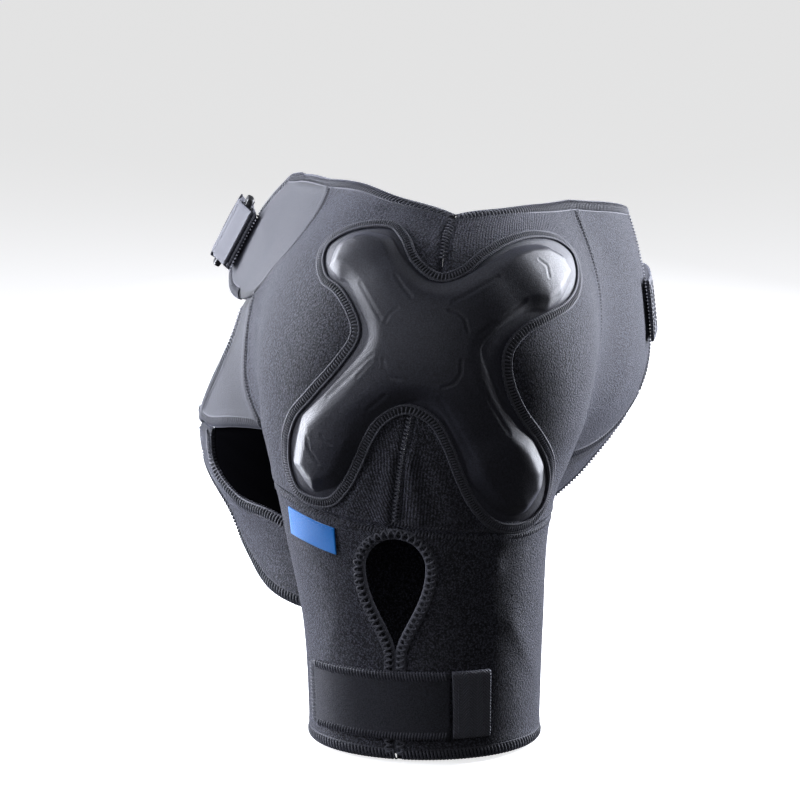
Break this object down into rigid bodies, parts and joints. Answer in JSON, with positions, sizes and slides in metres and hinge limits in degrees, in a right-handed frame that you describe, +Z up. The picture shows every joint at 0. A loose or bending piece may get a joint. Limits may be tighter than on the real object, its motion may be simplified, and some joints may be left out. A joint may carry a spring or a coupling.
{
  "type": "padded shoulder brace",
  "caption": "Neoprene shoulder brace in its worn shape, with an X-shaped impact pad, keyhole sleeve, torso band and ringed body strap.",
  "frame": {"origin": "centre of the wearer's shoulder joint", "axes": "+X outwards over the upper arm, +Y to the wearer's back, +Z up"},
  "size_m": [0.4575, 0.281, 0.3118],
  "materials": {
    "pile_neoprene": "charcoal loop-pile knit bonded to neoprene",
    "smooth_neoprene": "smooth charcoal jersey bonded to neoprene",
    "gusset_knit": "thin black stretch knit",
    "pad_film": "satin stretch cover over the moulded pad",
    "pad_foam": "moulded impact foam",
    "stitching": "dark overlock and cover stitching",
    "webbing": "woven elastic webbing",
    "hook_tape": "black hook tape",
    "ring_plastic": "moulded black plastic",
    "label_cloth": "blue woven label without lettering"
  },
  "bodies": {
    "garment": {"front_shoulder_panel": "pile_neoprene", "back_shoulder_panel": "pile_neoprene", "chest_panel": "smooth_neoprene", "pec_strip": "smooth_neoprene", "back_wing": "pile_neoprene", "torso_band": "pile_neoprene", "armpit_gusset": "gusset_knit", "sleeve": "pile_neoprene", "pad_core": "pad_foam", "pad_cover": "pad_film", "pad_stitch_band": "stitching", "neckline_binding": "stitching", "tab_binding": "stitching", "tab_hem_binding": "stitching", "pec_edge_binding": "stitching", "armhole_binding": "stitching", "spine_binding": "stitching", "wing_hem_binding": "stitching", "band_top_binding": "stitching", "band_hem_binding": "stitching", "armscye_seam_tape": "stitching", "back_seam_tape": "stitching", "shoulder_seam_upper": "stitching", "shoulder_seam_lower": "stitching", "sleeve_seam_front_tape": "stitching", "sleeve_seam_back_tape": "stitching", "sleeve_hem_binding": "stitching", "keyhole_rim": "stitching", "woven_label": "label_cloth", "ring_loop": "webbing", "body_strap": "webbing", "strap_anchor": "stitching", "sleeve_tab_base": "webbing"},
    "ring": {"chest_ring": "ring_plastic", "strap_fold": "webbing"},
    "strap_end": {"strap_tail": "webbing", "tail_hook_patch": "hook_tape"},
    "sleeve_flap": {"sleeve_tab": "webbing", "tab_hook_patch": "hook_tape"}
  },
  "joints": [
    {"name": "ring_swing", "type": "hinge", "parent": "garment", "child": "ring", "pos_m": [-0.1621, -0.12007, 0.03893], "axis": [-0.0554, 0.4697, 0.8811], "range_deg": [0, 25]},
    {"name": "strap_peel", "type": "hinge", "parent": "ring", "child": "strap_end", "pos_m": [-0.18288, -0.12742, 0.04154], "axis": [-0.0554, 0.4697, 0.8811], "range_deg": [0, 140]},
    {"name": "sleeve_tab_peel", "type": "hinge", "parent": "garment", "child": "sleeve_flap", "pos_m": [0.05956, 0.01722, -0.192], "axis": [0, 0, 1], "range_deg": [0, 110]}
  ]
}
